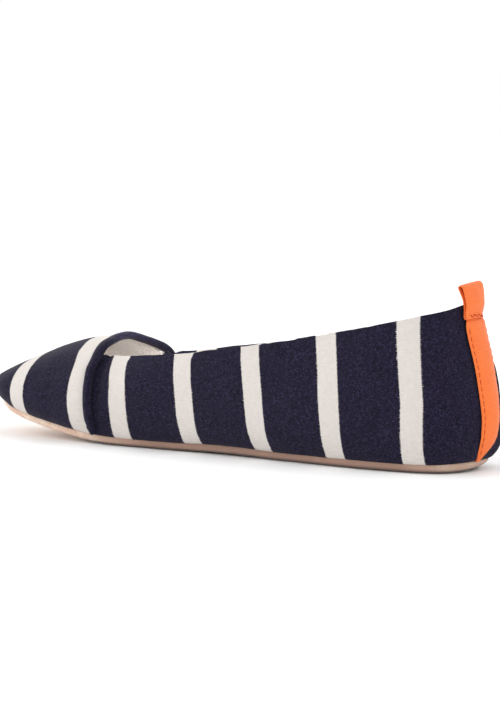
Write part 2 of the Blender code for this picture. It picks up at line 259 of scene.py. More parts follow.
def makeWorld():
    world = bpy.data.worlds.new("studio")
    world.use_nodes = True
    dome = addNode(world, "TexCoord", {}, {})
    height = addNode(world, "SeparateXYZ", {}, {0: dome}, "Z")
    low, high = studio["wallTop"]
    light = addNode(
        world, "MapRange", softStep, {0: height, 1: low, 2: high, 3: studio["walls"], 4: studio["ceiling"]}
    )
    background = world.node_tree.nodes["Background"]
    setSockets(world, background, {"Strength": light, "Color": (1, 1, 1, 1)})
    bpy.context.scene.world = world
    bpy.context.scene.view_settings.view_transform = "Standard"


def addLamp(name, kind, energy, aim):
    # aim: the way back from what is lit to the lamp
    lamp = bpy.data.objects.new(name, bpy.data.lights.new(name, kind))
    bpy.context.scene.collection.objects.link(lamp)
    lamp.data.energy = energy
    lamp.rotation_mode = "QUATERNION"
    lamp.rotation_quaternion = aim.to_track_quat("Z", "Y")
    return lamp


def makeStudio():
    makeWorld()
    sweepOnly = bpy.data.collections.new("sweep")
    for energy, softness, source, floorOnly in studio["suns"]:
        sun = addLamp("soft sun", "SUN", energy, Vector(source))
        sun.data.angle = math.radians(softness)
        if floorOnly:
            sun.light_linking.receiver_collection = sweepOnly
    source, target = Vector(mouthLight["from"]), Vector(mouthLight["to"])
    lamp = addLamp("mouth light", "SPOT", mouthLight["power"], source - target)
    lamp.data.shadow_soft_size = mouthLight["size"] * mm
    lamp.data.spot_size, lamp.data.spot_blend = math.radians(mouthLight["cone"]), mouthLight["blend"]
    lamp.visible_camera = False
    lamp.location = source * mm
    bpy.ops.object.select_all(action="DESELECT")
    bpy.ops.mesh.primitive_plane_add(size=studio["floorSize"], location=(0, 0, 0))
    floor = bpy.context.object
    floor.name = "floor"
    paper = {"Roughness": 0.9, "Base Color": linearColour(studio["floorColour"])}
    floor.data.materials.append(newMaterial("matt paper sweep", paper)[0])
    sweepOnly.objects.link(floor)
    floor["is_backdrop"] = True


makeCamera()
makeStudio()
print("camera and studio ready")

# Cotton jersey, knitted in two yarns and brushed a little: matt, with a soft pale edge and fine ribs
# that run along the shoe. Real ribs stand 0.6 mm apart, drawn at 0.9 mm so that they show.
jersey = {
    "finish": {"Roughness": 0.95, "Specular IOR Level": 0.12, "Sheen Weight": 0.08, "Sheen Roughness": 0.45},
    "navy": "#1b1729",
    "navyDeep": "#0f0c18",
    "navyPale": "#342f4a",
    "cream": "#d4cec9",
    "creamShade": "#c7bfb9",
    "lint": "#8d889a",
    "fibre": 0.8,  # grain sizes in mm
    "clump": 1.7,
    "cloud": 14,
    "fluff": 1.3,
    "ribPitch": 0.9,  # mm
    "loopPitch": 1.1,
    "loopLag": 1.6,
    "ribShade": 0.3,  # how dark the grooves are, on navy and on cream
    "creamRibShade": 0.08,
    "speckle": 0.75,
    "lintShare": 0.5,
    "stripePitch": 36.6,
    "stripeHalf": 4.55,
    "edgeSoft": 0.16,
    "edgeWander": 0.45,
    "edgeFray": 0.35,
    "hair": 0.75,  # loose fibres reach this far over the stripe's edge
    "hairStretch": 4,
    "tooth": 0.3,
    "flare": 1.3,
    "flareReach": 3.2,
    "depth": 0.14,
    "strength": 0.5,
}


def makeJersey(name, striped):
    material, shader = newMaterial(name, jersey["finish"])
    place = addNode(material, "TexCoord", {}, {}, "Object")
    if striped:
        cloth = addNode(material, "UVMap", {"uv_map": "cloth"}, {})
        along = addNode(material, "SeparateXYZ", {}, {0: cloth}, "X")
        up = addNode(material, "SeparateXYZ", {}, {0: cloth}, "Y")
    else:
        along = addNode(material, "SeparateXYZ", {}, {0: place}, "Z")
        up = addNode(material, "SeparateXYZ", {}, {0: place}, "X")
    fibre, clump, cloud, fluff = (1 / (jersey[size] * mm) for size in ("fibre", "clump", "cloud", "fluff"))
    fine = addNode(
        material, "TexNoise", {}, {"Vector": place, "Scale": fibre, "Detail": 3, "Roughness": 0.65}
    )
    clumps = addNode(
        material, "TexNoise", {}, {"Vector": place, "Scale": clump, "Detail": 3, "Roughness": 0.6}
    )
    broad = addNode(
        material, "TexNoise", {}, {"Vector": place, "Scale": cloud, "Detail": 2, "Roughness": 0.5}
    )
    lint = addNode(
        material, "TexNoise", {}, {"Vector": place, "Scale": fluff, "Detail": 4, "Roughness": 0.75}
    )

    # ribs and the small loops within them
    turns = addNode(material, "Math", multiply, {0: up, 1: 2 * math.pi / (jersey["ribPitch"] * mm)})
    ribs = addNode(material, "Math", sine, {0: turns})
    ribs = addNode(material, "Math", multiplyAdd, {0: ribs, 1: 0.5, 2: 0.5})
    knots = addNode(material, "Math", multiply, {0: along, 1: 2 * math.pi / (jersey["loopPitch"] * mm)})
    lagged = addNode(material, "Math", multiplyAdd, {0: ribs, 1: jersey["loopLag"], 2: knots})
    loops = addNode(material, "Math", sine, {0: lagged})
    loops = addNode(material, "Math", multiplyAdd, {0: loops, 1: 0.5, 2: 0.5})

    # navy yarn: darker between the clumps, with pale specks and bits of lint
    deep, navy, pale = (linearColour(jersey[tone]) for tone in ("navyDeep", "navy", "navyPale"))
    inClump = addNode(material, "MapRange", softStep, {0: clumps, 1: 0.2, 2: 0.6})
    colour = addNode(material, "Mix", colourMix, {0: inClump, 6: deep, 7: navy}, mixed)
    specks = addNode(material, "MapRange", softStep, {0: fine, 1: 0.45, 2: 0.68, 4: jersey["speckle"]})
    colour = addNode(material, "Mix", colourMix, {0: specks, 6: colour, 7: pale}, mixed)
    lint = addNode(material, "MapRange", softStep, {0: lint, 1: 0.68, 2: 0.78, 4: jersey["lintShare"]})
    colour = addNode(
        material, "Mix", colourMix, {0: lint, 6: colour, 7: linearColour(jersey["lint"])}, mixed
    )
    ribShade = jersey["ribShade"]
    if striped:
        stripe = addStripe(material, along, up, fine, broad)
        shade, cream = linearColour(jersey["creamShade"]), linearColour(jersey["cream"])
        inClump = addNode(material, "MapRange", softStep, {0: clumps, 1: 0.3, 2: 0.75})
        yarn = addNode(material, "Mix", colourMix, {0: inClump, 6: shade, 7: cream}, mixed)
        yarn = addNode(material, "Mix", colourMix, {0: 0.6, 6: yarn, 7: cream}, mixed)
        colour = addNode(material, "Mix", colourMix, {0: stripe, 6: colour, 7: yarn}, mixed)
        ribShade = addNode(
            material, "MapRange", softStep, {0: stripe, 1: 0, 2: 1, 3: ribShade, 4: jersey["creamRibShade"]}
        )
    groove = addNode(material, "Math", multiplyAdd, {0: ribs, 1: 0.5, 2: 0.6})
    groove = addNode(material, "CombineColor", {}, {0: groove, 1: groove, 2: groove})
    colour = addNode(material, "Mix", shadeMix, {0: ribShade, 6: colour, 7: groove}, mixed)
    height = addNode(material, "Math", multiplyAdd, {0: loops, 1: 0.35, 2: ribs})
    height = addNode(material, "Math", multiplyAdd, {0: fine, 1: 1.1, 2: height})
    relief = {"Height": height, "Distance": jersey["depth"] * mm, "Strength": jersey["strength"]}
    setSockets(material, shader, {"Base Color": colour, "Normal": addNode(material, "Bump", {}, relief)})
    return material


def addStripe(material, along, up, fine, broad):
    # 1 on the cream stripes, 0 on navy: an uneven toothed edge with loose hairs, flared below the collar
    half, tooth = jersey["stripePitch"] / 2 * mm, jersey["ribPitch"] / 2
    collar = addNode(material, "Attribute", {"attribute_name": "belowCollar"}, {}, "Fac")
    flare = {0: collar, 1: 0, 2: jersey["flareReach"], 3: jersey["flare"], 4: 0.0}
    flare = addNode(material, "MapRange", softStep, flare)
    teeth = addNode(material, "Math", {"operation": "PINGPONG"}, {0: up, 1: tooth * mm})
    teeth = addNode(material, "Math", multiply, {0: teeth, 1: jersey["tooth"] / tooth})
    wander = addNode(material, "Math", multiplyAdd, {0: broad, 1: jersey["edgeWander"] * mm, 2: along})
    wander = addNode(material, "Math", multiplyAdd, {0: fine, 1: jersey["edgeFray"] * mm, 2: wander})
    hairs = addNode(material, "CombineXYZ", {}, {0: along, 1: up})
    hairs = addNode(material, "VectorMath", multiply, {0: hairs, 1: (1, jersey["hairStretch"], 1)})
    thread = 1 / (jersey["fluff"] * mm)
    hairs = addNode(
        material, "TexNoise", {}, {"Vector": hairs, "Scale": thread, "Detail": 3, "Roughness": 0.7}
    )
    hairs = addNode(material, "MapRange", softStep, {0: hairs, 1: 0.5, 2: 0.72})
    wrapped = addNode(material, "Math", {"operation": "WRAP"}, {0: wander, 1: half, 2: -half})
    away = addNode(material, "Math", {"operation": "ABSOLUTE"}, {0: wrapped})
    away = addNode(material, "Math", {"operation": "ADD"}, {0: away, 1: teeth})
    heelward = addNode(material, "MapRange", softStep, {0: wrapped, 1: 0, 2: 2.5 * mm})
    flare = addNode(material, "Math", multiply, {0: flare, 1: heelward})
    away = addNode(material, "Math", multiplyAdd, {0: flare, 1: -mm, 2: away})
    away = addNode(material, "Math", multiplyAdd, {0: hairs, 1: -jersey["hair"] * mm, 2: away})
    edge, soft = jersey["stripeHalf"] + jersey["tooth"] / 2, jersey["edgeSoft"]
    within = {0: away, 1: (edge - soft) * mm, 2: (edge + soft) * mm, 3: 1.0, 4: 0.0}
    return addNode(material, "MapRange", softStep, within)


# Polyester fleece, knitted and brushed to a short nap: dull, cream, darker in its hollows.
fleece = {
    "finish": {"Roughness": 1.0, "Specular IOR Level": 0.1, "Sheen Weight": 0.6, "Sheen Roughness": 0.6},
    "pale": "#fbf6f2",
    "shade": "#e6d9d0",
    "tuft": 1.3,  # mm
    "curl": 0.5,
    "wale": 1.3,
    "depth": 0.6,
    "strength": 0.9,
}


def makeFleece(name, ribbed):
    material, shader = newMaterial(name, fleece["finish"])
    place = addNode(material, "TexCoord", {}, {}, "Object")
    tuft, curl = 1 / (fleece["tuft"] * mm), 1 / (fleece["curl"] * mm)
    tufts = addNode(
        material, "TexNoise", {}, {"Vector": place, "Scale": tuft, "Detail": 4, "Roughness": 0.65}
    )
    curls = addNode(
        material, "TexNoise", {}, {"Vector": place, "Scale": curl, "Detail": 2, "Roughness": 0.6}
    )
    height = tufts
    if ribbed:
        cloth = addNode(material, "UVMap", {"uv_map": "cloth"}, {})
        girth = addNode(material, "SeparateXYZ", {}, {0: cloth}, "Y")
        turns = addNode(material, "Math", multiply, {0: girth, 1: 2 * math.pi / (fleece["wale"] * mm)})
        turns = addNode(material, "Math", multiplyAdd, {0: tufts, 1: 5.0, 2: turns})
        wales = addNode(material, "Math", sine, {0: turns})
        wales = addNode(material, "Math", multiplyAdd, {0: wales, 1: 0.5, 2: 0.5})
        height = addNode(material, "Math", multiplyAdd, {0: wales, 1: 0.3, 2: tufts})
    height = addNode(material, "Math", multiplyAdd, {0: curls, 1: 0.35, 2: height})
    shade, pale = linearColour(fleece["shade"]), linearColour(fleece["pale"])
    raised = addNode(material, "MapRange", softStep, {0: height, 1: 0.35, 2: 0.95})
    colour = addNode(material, "Mix", colourMix, {0: raised, 6: shade, 7: pale}, mixed)
    relief = {"Height": height, "Distance": fleece["depth"] * mm, "Strength": fleece["strength"]}
    setSockets(material, shader, {"Base Color": colour, "Normal": addNode(material, "Bump", {}, relief)})
    return material


# Split suede, shaved and brushed: pinkish tan, matt, with a fine nap that lies in patches.
suede = {
    "finish": {"Roughness": 1.0, "Specular IOR Level": 0.1, "Sheen Weight": 0.2, "Sheen Roughness": 0.5},
    "tan": "#e9d3c0",
    "rose": "#d9b8a4",
    "deep": "#8d7265",
    # the colour of the painted shade along the waist
    "waist": "#927466",
    # painted contact shade with some soiling along the lower edge: its colour, how strong, and between which
    # heights
    "soilAndShade": "#40302a",
    "soilAndShadeStrength": 0.9,
    "soilAndShadeHeights": (0.4, 2.2),  # mm above the floor
    "toeToWaist": (-80, -25),  # mm along the shoe
    "waistToHeel": (92, 118),
    "heelShare": 0.6,  # how much of the painted waist shade is left at the heel
    "nap": 0.9,
    "patch": 8,
    "depth": 0.25,
    "strength": 0.7,
}


def makeSuede(name):
    material, shader = newMaterial(name, suede["finish"])
    place = addNode(material, "TexCoord", {}, {}, "Object")
    nap, patch = 1 / (suede["nap"] * mm), 1 / (suede["patch"] * mm)
    nap = addNode(material, "TexNoise", {}, {"Vector": place, "Scale": nap, "Detail": 5, "Roughness": 0.7})
    patch = addNode(
        material, "TexNoise", {}, {"Vector": place, "Scale": patch, "Detail": 3, "Roughness": 0.55}
    )
    tan, rose, deep = (linearColour(suede[tone]) for tone in ("tan", "rose", "deep"))
    waistColour, soilAndShade = linearColour(suede["waist"]), linearColour(suede["soilAndShade"])
    inPatch = addNode(material, "MapRange", softStep, {0: patch, 1: 0.35, 2: 0.65})
    colour = addNode(material, "Mix", colourMix, {0: inPatch, 6: rose, 7: tan}, mixed)
    # painted shade, darker along the waist and less so at the heel
    along = addNode(material, "SeparateXYZ", {}, {0: place}, "X")
    start, end = (x * mm for x in suede["toeToWaist"])
    behindToe = addNode(material, "MapRange", softStep, {0: along, 1: start, 2: end})
    end, start = (x * mm for x in suede["waistToHeel"])
    beforeHeel = {0: along, 1: start, 2: end, 3: suede["heelShare"], 4: 1.0}
    beforeHeel = addNode(material, "MapRange", softStep, beforeHeel)
    waist = addNode(material, "Math", multiply, {0: behindToe, 1: beforeHeel})
    uneven = addNode(material, "MapRange", softStep, {0: patch, 1: 0.1, 2: 0.5, 3: 0.6, 4: 0.95})
    waist = addNode(material, "Math", multiply, {0: waist, 1: uneven})
    colour = addNode(material, "Mix", colourMix, {0: waist, 6: colour, 7: waistColour}, mixed)
    # painted contact shade, with some soiling, where it meets the ground
    tall = addNode(material, "SeparateXYZ", {}, {0: place}, "Z")
    low, high = (z * mm for z in suede["soilAndShadeHeights"])
    soilAndShadeMask = addNode(
        material, "MapRange", softStep, {0: tall, 1: low, 2: high, 3: suede["soilAndShadeStrength"], 4: 0.0}
    )
    colour = addNode(material, "Mix", colourMix, {0: soilAndShadeMask, 6: colour, 7: soilAndShade}, mixed)
    pits = addNode(material, "MapRange", softStep, {0: nap, 1: 0.5, 2: 0.3, 4: 0.6})
    colour = addNode(material, "Mix", colourMix, {0: pits, 6: colour, 7: deep}, mixed)
    relief = {"Height": nap, "Distance": suede["depth"] * mm, "Strength": suede["strength"]}
    setSockets(material, shader, {"Base Color": colour, "Normal": addNode(material, "Bump", {}, relief)})
    return material


# Grosgrain, woven of cotton with a thick weft: crosswise ribs, silky orange, duller in the grooves.
grosgrain = {
    "finish": {"Roughness": 0.7, "Specular IOR Level": 0.25, "Sheen Weight": 0.15, "Sheen Roughness": 0.4},
    "orange": "#ee7837",
    "deep": "#e06426",
    "ribPitch": 0.8,  # mm
    "fibre": 0.5,
    "cloud": 7,
    "depth": 0.12,
    "strength": 0.35,
}


def makeGrosgrain(name):
    material, shader = newMaterial(name, grosgrain["finish"])
    place = addNode(material, "TexCoord", {}, {}, "Object")
    tall = addNode(material, "SeparateXYZ", {}, {0: place}, "Z")
    turns = addNode(material, "Math", multiply, {0: tall, 1: 2 * math.pi / (grosgrain["ribPitch"] * mm)})
    ribs = addNode(material, "Math", sine, {0: turns})
    ribs = addNode(material, "Math", multiplyAdd, {0: ribs, 1: 0.5, 2: 0.5})
    fibre, cloud = 1 / (grosgrain["fibre"] * mm), 1 / (grosgrain["cloud"] * mm)
    fibres = addNode(
        material, "TexNoise", {}, {"Vector": place, "Scale": fibre, "Detail": 3, "Roughness": 0.6}
    )
    broad = addNode(
        material, "TexNoise", {}, {"Vector": place, "Scale": cloud, "Detail": 2, "Roughness": 0.5}
    )
    deep, orange = linearColour(grosgrain["deep"]), linearColour(grosgrain["orange"])
    raised = addNode(material, "Math", multiply, {0: ribs, 1: 0.5})
    raised = addNode(material, "Math", multiplyAdd, {0: fibres, 1: 0.5, 2: raised})
    raised = addNode(material, "MapRange", softStep, {0: raised, 1: 0.05, 2: 0.6})
    colour = addNode(material, "Mix", colourMix, {0: raised, 6: deep, 7: orange}, mixed)
    dull = addNode(material, "MapRange", softStep, {0: broad, 1: 0.6, 2: 0.3, 4: 0.25})
    colour = addNode(material, "Mix", colourMix, {0: dull, 6: colour, 7: deep}, mixed)
    height = addNode(material, "Math", multiplyAdd, {0: fibres, 1: 0.4, 2: ribs})
    relief = {"Height": height, "Distance": grosgrain["depth"] * mm, "Strength": grosgrain["strength"]}
    setSockets(material, shader, {"Base Color": colour, "Normal": addNode(material, "Bump", {}, relief)})
    return material


# Spun polyester sewing thread: two plies twisted, a little shine.
thread = {
    "finish": {"Roughness": 0.6, "Specular IOR Level": 0.3},
    "main": "#d05a26",
    "dark": "#b84616",
    "ply": 0.35,  # mm
    "depth": 0.06,
    "strength": 0.5,
}


def makeThread(name):
    material, shader = newMaterial(name, thread["finish"])
    place = addNode(material, "TexCoord", {}, {}, "Object")
    ply = 1 / (thread["ply"] * mm)
    plies = addNode(
        material, "TexNoise", {}, {"Vector": place, "Scale": ply, "Detail": 2, "Roughness": 0.5}
    )
    dark, main = linearColour(thread["dark"]), linearColour(thread["main"])
    raised = addNode(material, "MapRange", softStep, {0: plies, 1: 0.35, 2: 0.65})
    colour = addNode(material, "Mix", colourMix, {0: raised, 6: dark, 7: main}, mixed)
    relief = {"Height": plies, "Distance": thread["depth"] * mm, "Strength": thread["strength"]}
    setSockets(material, shader, {"Base Color": colour, "Normal": addNode(material, "Bump", {}, relief)})
    return material


stripedJersey = makeJersey("striped cotton jersey, knitted and brushed", True)
plainJersey = makeJersey("plain cotton jersey, knitted and brushed", False)
liningFleece = makeFleece("ribbed polyester fleece, knitted and brushed", True)
footbedFleece = makeFleece("plain polyester fleece, brushed to a short nap", False)
soleSuede = makeSuede("split suede, shaved and brushed")
heelGrosgrain = makeGrosgrain("cotton grosgrain, woven")
orangeThread = makeThread("spun orange sewing thread")
print("materials ready")

# The heel tape, sewn on along both edges; sizes in mm, spans as a start and a run.
tape = {
    "levels": 3,
    "halfWidth": 10,  # mm
    "lipIn": 1.35,  # the stitches' groove lies this far in from each edge
    "grooveWidth": 0.4,
    "grooveDepth": 0.3,
    "reachDown": 3.2,  # how far the foot reaches down, eased out over the next
    "reachOver": 9,
    "reachWay": (-0.7, 0, -0.7),  # down the heel's slope
    "waves": (9, 0.15, 8.3),  # size, height and seed of its unevenness
    # its edges run in towards the sole: height and how far in, first the outer edge, then the inner one
    "runIn": [
        (4, 15.4),
        (6.5, 13.6),
        (9, 10.7),
        (12, 7.2),
        (17, 4.8),
        (24, 3.0),
        (31, 1.9),
        (42, 0.9),
        (52, 0),
    ],
    "innerIn": [(3, 3.0), (6, 2.2), (9, 1.2), (13, 0.3), (17, 0)],
    "heelRadius": 23,
    "offWall": 0.4,  # where the foot runs in more than the span's start it stands off the upper by this
    "offSpan": (4, 4),
    "headShift": 1.0,  # the head lies this much nearer the inner side
    "headSpan": (42, 14),
    "headRise": (58, 4, 1.2),  # above this height, over this run: up by this, to lie under the loop's foot
    "headIn": (61.6, 1.2, 0.2, 0.5),  # above this height, over this run: in by this and thinner by this
}


def makeTape():
    piece = copyOfNode("heel_tape", "heelTape")
    soften(piece, tape["levels"])
    points = pointsOf(piece)
    outward = normalsOf(piece)
    # the foot reaches down to the sole seam
    foot = points[:, 2].min()
    amount = ease(1 - (points[:, 2] - foot) / (tape["reachOver"] * mm))
    points += np.array(tape["reachWay"]) * (tape["reachDown"] * mm * amount)[:, None]
    # a groove along each edge, where the stitches draw the tape in
    edgeIn = tape["halfWidth"] - np.abs(points[:, 1] / mm - centreLine)
    groove = np.exp(-(((edgeIn - tape["lipIn"]) / tape["grooveWidth"]) ** 2))
    outside = ease(outward[:, 0] * 2)
    points -= outward * (groove * outside * tape["grooveDepth"] * mm)[:, None]
    size, height, seed = tape["waves"]
    points += outward * (waves(points, size, seed) * height * mm * outside)[:, None]
    _, y, z = inShoe(points)
    across = np.clip(y / tape["halfWidth"] / 2 + 0.5, 0, 1)
    runIn = across * np.interp(z, *zip(*tape["runIn"]))
    runIn -= (1 - across) * np.interp(z, *zip(*tape["innerIn"]))
    head = tape["headShift"] * ramp(z, tape["headSpan"])
    points[:, 0] += (y**2 - (y - runIn) ** 2) / (2 * tape["heelRadius"]) * mm
    points[:, 0] += tape["offWall"] * ramp(runIn, tape["offSpan"]) * mm
    # the head slips in under the loop's foot
    start, run, rise = tape["headRise"]
    points[:, 2] += rise * ease((points[:, 2] / mm - start) / run) * mm
    start, run, headIn, thinner = tape["headIn"]
    tucked = ease((points[:, 2] / mm - start) / run)
    points[:, 0] -= (headIn + thinner * np.clip(outward[:, 0], 0, 1)) * tucked * mm
    points[:, 1] -= (runIn + head) * mm
    setPoints(piece, points)
    piece.data.materials.append(heelGrosgrain)
    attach(piece, "root")
    return piece


# The rolled band round the throat.
band = {
    "levels": 2,
    "footSample": 12,  # mm: each leg's lean is measured below this height
    "footReach": 7.0,
    "footPinch": 0.15,
    "footDrop": 1.2,  # down and in along the upper, to the sole seam
    "footIn": 1.7,
    "legForward": 1.0,  # the legs press against the vamp's folded edge
    "archForward": 0.22,
    "legSpan": (40, -6),  # a leg ends at the first, eased over the second
    "rearIn": 1.1,
    "nearShoulder": (-14, 15, 1.2),  # place across, reach and how far it swells forward
    "nearSpan": (30, 6),
    "waves": (6, 0.12, 5.1),
}

# The outer shoulder of the throat slopes down, the band and the vamp alike.
farShoulder = {
    "place": 22,  # mm across
    "reach": 10,
    "drop": 1.0,
    "upSpan": (33, 8),
    "frontSpan": (-92, 24),
    "backSpan": (-46, -6),
}


def dropShoulder(points):
    x, y, z = inShoe(points)
    off = (y - farShoulder["place"]) / farShoulder["reach"]
    drop = farShoulder["drop"] * np.exp(-(off**2)) * ramp(z, farShoulder["upSpan"])
    points[:, 2] -= drop * ramp(x, farShoulder["frontSpan"]) * ramp(x, farShoulder["backSpan"]) * mm


def makeBand():
    piece = copyOfNode("throat_binding", "throatBand")
    soften(piece, band["levels"])
    points = pointsOf(piece)
    for side in (-1, 1):
        mine = (points[:, 1] / mm - centreLine) * side > 0
        foot = points[mine, 2].min()
        low = mine & (points[:, 2] < foot + band["footSample"] * mm)
        heights = points[low, 2]
        middle = [np.polyval(np.polyfit(heights, points[low, axis], 1), points[:, 2]) for axis in (0, 1)]
        amount = ease(1 - (points[:, 2] - foot) / (band["footReach"] * mm)) * mine
        pinch = 1 - band["footPinch"] * amount
        points[:, 0] = np.where(mine, middle[0] + (points[:, 0] - middle[0]) * pinch, points[:, 0])
        points[:, 1] = np.where(mine, middle[1] + (points[:, 1] - middle[1]) * pinch, points[:, 1])
        points[:, 2] -= band["footDrop"] * mm * amount
        points[:, 1] -= side * band["footIn"] * mm * amount
    onLeg = ramp(points[:, 2] / mm, band["legSpan"])
    points[:, 0] -= (band["archForward"] + (band["legForward"] - band["archForward"]) * onLeg) * mm
    points[:, 0] -= band["rearIn"] * mm * np.clip(normalsOf(piece)[:, 0], 0, 1) * onLeg
    place, reach, swell = band["nearShoulder"]
    _, across, height = inShoe(points)
    swell = swell * np.exp(-(((across - place) / reach) ** 2)) * ramp(height, band["nearSpan"])
    points[:, 0] -= swell * np.clip(-normalsOf(piece)[:, 0], 0, 1) * mm
    dropShoulder(points)
    size, height, seed = band["waves"]
    points += normalsOf(piece) * (waves(points, size, seed) * height * mm)[:, None]
    setPoints(piece, points)
    piece.data.materials.append(plainJersey)
    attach(piece, "root")
    return piece


throatBand = makeBand()
print("band ready")

# The upper: quarters, vamp, collar hem and lining in one shell.
upper = {
    "levels": 2,
    "rimAngle": 60,  # degrees: the shell's own edges are sharper than this
    "throatFoot": -59.1,  # mm: the vamp starts here at the sole and leans forward going up
    "throatLean": -0.085,
    "throatFootHeight": 8,
    "stepRun": 2.6,  # the vamp's edge folds down over this, under the band
    "footOfStep": 8,
    "archFrom": 41,  # above this and forward of archReach there is only the vamp
    "archReach": -55.5,
    "toeFrom": -95,
    "soleRimBelow": 25,  # a rim whose middle is lower than this is sewn to the sole
    "rimRound": 0.45,
    "edgeRun": 7,  # the vamp's throat edge runs back under the band, easing out over this
    "edgeGap": 0.1,
    "edgeMost": 2.6,
    "footRun": 5,  # the foot of the wall presses down on the sole
    "footPress": 0.7,
    "wallFrom": (0, 3),  # outside the folds begin this far above the seam
    "liningFrom": (9, 4),  # and inside at this height
    "tapeFrom": (104, 12),  # along: from here back the wall is smooth under the tape
    "tapeHalf": (13.5, -3),  # across
    "bandHalf": (6.5, -3),  # nothing swells out this near to the band's middle
    "bandMiddle": -57.5,
    "noFlare": (12, 15, 30),  # the stripes don't flare towards the heel: depth added, start, run
}
region = {"quarter": 0, "vamp": 1, "lining": 2, "collar": 3, "seam": 4, "hem": 5, "vampEdge": 6}

# Where each stripe of the quarter has its middle at 28 mm height, and how it leans below and above that.
quarterStripes = [  # middle, lean below, lean above (mm a mm)
    (-41.8, -0.02, -0.20),
    (-5.9, -0.07, -0.08),
    (30.5, -0.09, -0.10),
    (67.6, -0.06, -0.06),
    (104.4, 0.02, -0.08),
]
stripeLevel = 28
outerStripeShift = 8.5  # the outer side's stripes stand this much nearer the heel
outerStripeSpan = (-6, 12)  # across: where the shift comes in
vampStripeEdges = [(-105.5, -97.3), (-69.4, -56.0)]
vampLean = {"from": 32, "rate": 0.026, "start": -95, "run": 25}

# Soft folds: middle (along, up), direction, length, width, height in mm; side -1 inner, 1 outer, 0 both.
folds = [
    {"at": (-49.6, 26), "way": (0.06, 1), "length": 46, "width": 2.6, "rise": 0.6, "side": 0},
    {"at": (-54.0, 26), "way": (0.06, 1), "length": 46, "width": 1.6, "rise": -0.9, "side": 0},
    {"at": (-20, 31), "way": (1, 0.1), "length": 60, "width": 6, "rise": 0.45, "side": 0},
    {"at": (20, 14), "way": (1, -0.03), "length": 90, "width": 5, "rise": 0.4, "side": 0},
    {"at": (55, 40), "way": (1, 0.28), "length": 80, "width": 9, "rise": -0.55, "side": 0},
    {"at": (88, 52), "way": (1, 0.4), "length": 40, "width": 5, "rise": 0.35, "side": -1},
    {"at": (92, 20), "way": (0.5, 1), "length": 26, "width": 5, "rise": -0.4, "side": -1},
    {"at": (-8, 12), "way": (1, 0.5), "length": 30, "width": 3.5, "rise": -0.4, "side": -1},
    {"at": (46, 22), "way": (1, -0.6), "length": 34, "width": 5, "rise": -0.35, "side": 1},
    {"at": (-82, 30), "way": (1, 0.35), "length": 30, "width": 4, "rise": -0.35, "side": -1},
    {"at": (-88, 22), "way": (0.3, 1), "length": 20, "width": 4, "rise": 0.3, "side": -1},
    {"at": (-80, 24), "way": (1, 0.5), "length": 30, "width": 4.5, "rise": -0.35, "side": 1},
    {"at": (-108, 22), "way": (0.6, 1), "length": 18, "width": 3, "rise": -0.25, "side": 0},
]
unevenness = {  # size, height and seed; at the edges also how far in, and how much taller than wide
    "broad": (26, 0.5, 3.7),
    "small": (7, 0.12, 3.7),
    "seamGather": (5.5, 0.5, 11.3, 5, 6),
    "collarGather": (9, 0.35, 17.9, 5, 5),
}

# The heel's outer side bulges past the tape: height and swell in mm, and where it comes and goes.
heelSwell = {
    "low": [(4, 0), (6, 0.3), (9, 1.9), (13, 3.3), (24, 3.5)],
    "high": [(34, 3.8), (41, 3.6), (45, 2.6), (50, 1.3), (56, 0)],
    "fromTape": (1, 5),  # starts this far from the tape's edge, over this much
    "outerSpan": (36, -14),
    "alongSpan": (88, 18),
}


def outerBulge(points, tapeEdge):
    # how far the heel swells out beyond the tape's edge
    x, y, z = inShoe(points)
    gap, run = heelSwell["fromTape"]
    swell = np.interp(z, *zip(*heelSwell["low"], *heelSwell["high"])) * ease((y - (tapeEdge + gap)) / run)
    return swell * ramp(y, heelSwell["outerSpan"]) * ramp(x, heelSwell["alongSpan"])


def sortShell(piece):
    # marks each region of the shell by its material number, parting them at the sharp rims
    shape = bmesh.new()
    shape.from_mesh(piece.data)
    shape.faces.ensure_lookup_table()
    left = set(range(len(shape.faces)))
    sharp = math.radians(upper["rimAngle"])
    parts = []
    for start in range(len(shape.faces)):
        if start not in left:
            continue
        left.remove(start)
        found, queue = [start], [start]
        while queue:
            for edge in shape.faces[queue.pop()].edges:
                if edge.calc_face_angle(0) > sharp:
                    continue
                for other in edge.link_faces:
                    if other.index in left:
                        left.remove(other.index)
                        found.append(other.index)
                        queue.append(other.index)
        parts.append(found)
    parts.sort(key=lambda part: -sum(shape.faces[i].calc_area() for i in part))
    outer, lining, *rims = parts
    mark = {}
    for i in outer:
        middle = shape.faces[i].calc_center_median() / mm
        line = upper["throatFoot"] + upper["throatLean"] * (middle.z - upper["throatFootHeight"])
        arch = middle.z > upper["archFrom"] and middle.x < upper["archReach"]
        run = upper["stepRun"] * float(ease((middle.z - upper["footOfStep"]) / 4))
        mark[i] = "vamp" if arch or middle.x < line + run else "quarter"
    for i in lining:
        mark[i] = "lining"
    for rim in rims:
        height = np.mean([shape.faces[i].calc_center_median().z for i in rim]) / mm
        for i in rim:
            middle = shape.faces[i].calc_center_median() / mm
            edge = "vampEdge" if middle.x > upper["toeFrom"] else "vamp"
            edge = "collar" if middle.x > upper["archReach"] else edge
            mark[i] = "seam" if height < upper["soleRimBelow"] else edge
    collarPoints = {v.index for i, name in mark.items() if name == "collar" for v in shape.faces[i].verts}
    for i in lining:
        face = shape.faces[i]
        if face.calc_center_median().x / mm > upper["throatFoot"] + 2:
            if any(v.index in collarPoints for v in face.verts):
                mark[i] = "hem"
    for i, name in mark.items():
        shape.faces[i].material_index = region[name]
    shape.to_mesh(piece.data)
    shape.free()


